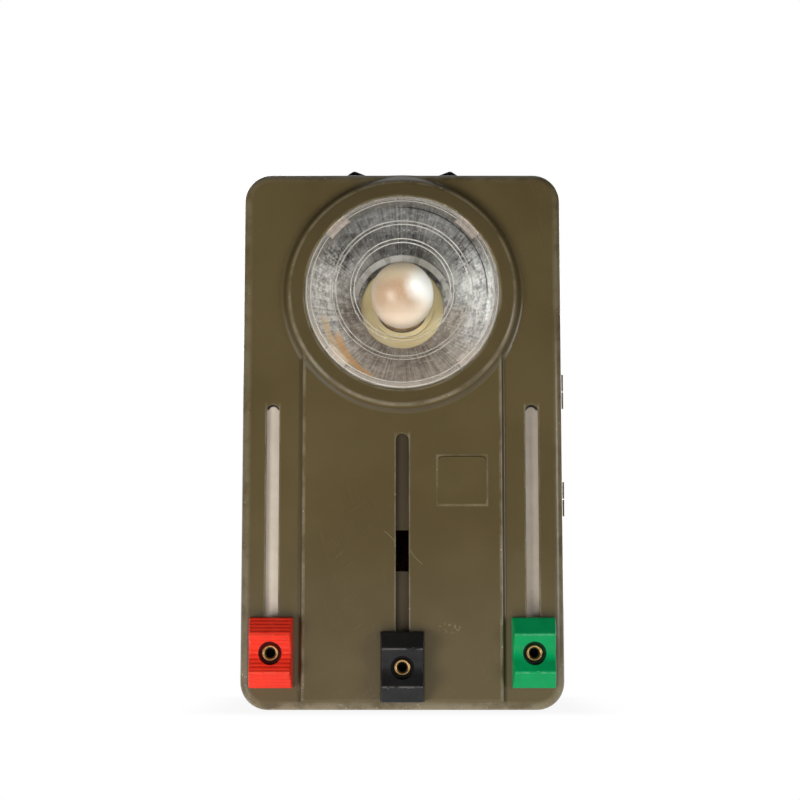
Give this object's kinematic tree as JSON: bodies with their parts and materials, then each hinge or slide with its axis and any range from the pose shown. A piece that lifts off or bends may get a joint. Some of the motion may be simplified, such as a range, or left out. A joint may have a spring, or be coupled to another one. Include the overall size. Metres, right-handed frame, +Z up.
{
  "type": "pocket signal lamp",
  "caption": "Flat upright pocket signal lamp in olive sheet metal: round stepped lens, sliding red and green filters and a shutter worked by knobs, saddle switch on top, hinged rear cover.",
  "frame": {"origin": "centre of the underside of the case, on the surface it stands on", "axes": "+Z up along the height, +X to the right seen from the lens side, +Y from the lens to the rear cover"},
  "size_m": [0.0726, 0.0408, 0.1206],
  "materials": {
    "olive_paint": "semi-gloss olive drab enamel, chipped at edges",
    "tinned_steel": "dull tin plate",
    "steel": "bright steel",
    "shutter_paint": "worn olive brown",
    "clear_lens": "clear moulded",
    "black_rubber": "matte",
    "reflector_mirror": "silvered",
    "cream_plastic": "cream moulded",
    "brass": "dull",
    "frosted_glass": "frosted inside",
    "stem_glass": "clear",
    "black_insulator": "vitreous black",
    "solder": "soft solder",
    "brown_board": "brown laminate",
    "battery_paper": "plain printed paper jacket",
    "pitch": "black sealing pitch",
    "red_plastic": "moulded",
    "green_plastic": "moulded",
    "black_plastic": "moulded, lightly worn",
    "red_filter": "clear coloured sheet",
    "green_filter": "clear coloured sheet",
    "pressboard": "glazed pressboard",
    "felt": "grey felt",
    "leather": "brown, worn edges"
  },
  "bodies": {
    "case": {"front_shell": "olive_paint", "case_hinges": "olive_paint", "lip_frame": "tinned_steel", "filter_tray": "tinned_steel", "lens_retainer": "tinned_steel", "switch_rails": "tinned_steel", "hinge_pins": "steel", "board_posts": "steel", "board_screws": "steel", "bulb_filament": "steel", "lens": "clear_lens", "lens_gasket": "black_rubber", "reflector": "reflector_mirror", "lamp_socket": "cream_plastic", "socket_sleeve": "brass", "bulb_base": "brass", "bulb_leaf": "brass", "switch_leaf": "brass", "contact_rivets": "brass", "battery_plus_strip": "brass", "battery_minus_strip": "brass", "bulb_glass": "frosted_glass", "bulb_stem": "stem_glass", "bulb_insulator": "black_insulator", "bulb_tip": "solder", "contact_board": "brown_board", "battery_jacket": "battery_paper", "battery_seal": "pitch"},
    "red_slider": {"red_knob": "red_plastic", "red_eyelet": "brass", "red_carrier": "tinned_steel", "red_filter": "red_filter"},
    "green_slider": {"green_knob": "green_plastic", "green_eyelet": "brass", "green_carrier": "tinned_steel", "green_filter": "green_filter"},
    "shutter_slider": {"shutter_knob": "black_plastic", "shutter_eyelet": "brass", "shutter_plate": "shutter_paint"},
    "switch_slider": {"switch_carriage": "brass", "switch_spring": "steel"},
    "switch_key": {"switch_knob": "black_plastic", "switch_stem": "brass"},
    "cover": {"rear_cover": "olive_paint", "cover_hinges": "olive_paint", "cover_lining": "pressboard", "battery_pad": "felt", "hanging_tab": "leather", "tab_rivets": "brass"}
  },
  "joints": [
    {"name": "red_filter_slide", "type": "slide", "parent": "case", "child": "red_slider", "axis": [0, 0, 1], "range_m": [0, 0.0495]},
    {"name": "green_filter_slide", "type": "slide", "parent": "case", "child": "green_slider", "axis": [0, 0, 1], "range_m": [0, 0.0495]},
    {"name": "shutter_slide", "type": "slide", "parent": "case", "child": "shutter_slider", "axis": [0, 0, 1], "range_m": [0, 0.047]},
    {"name": "cover_hinge", "type": "hinge", "parent": "case", "child": "cover", "pos_m": [0.03645, 0.00765, 0.05875], "axis": [0, 0, -1], "range_deg": [0, 160]},
    {"name": "switch_slide", "type": "slide", "parent": "case", "child": "switch_slider", "axis": [1, 0, 0], "range_m": [0, 0.004]},
    {"name": "switch_press", "type": "slide", "parent": "switch_slider", "child": "switch_key", "axis": [0, 0, -1], "range_m": [0, 0.0008], "stiffness_N_per_m": 400, "springref_m": -0.002, "deforming": ["switch_spring"]}
  ]
}
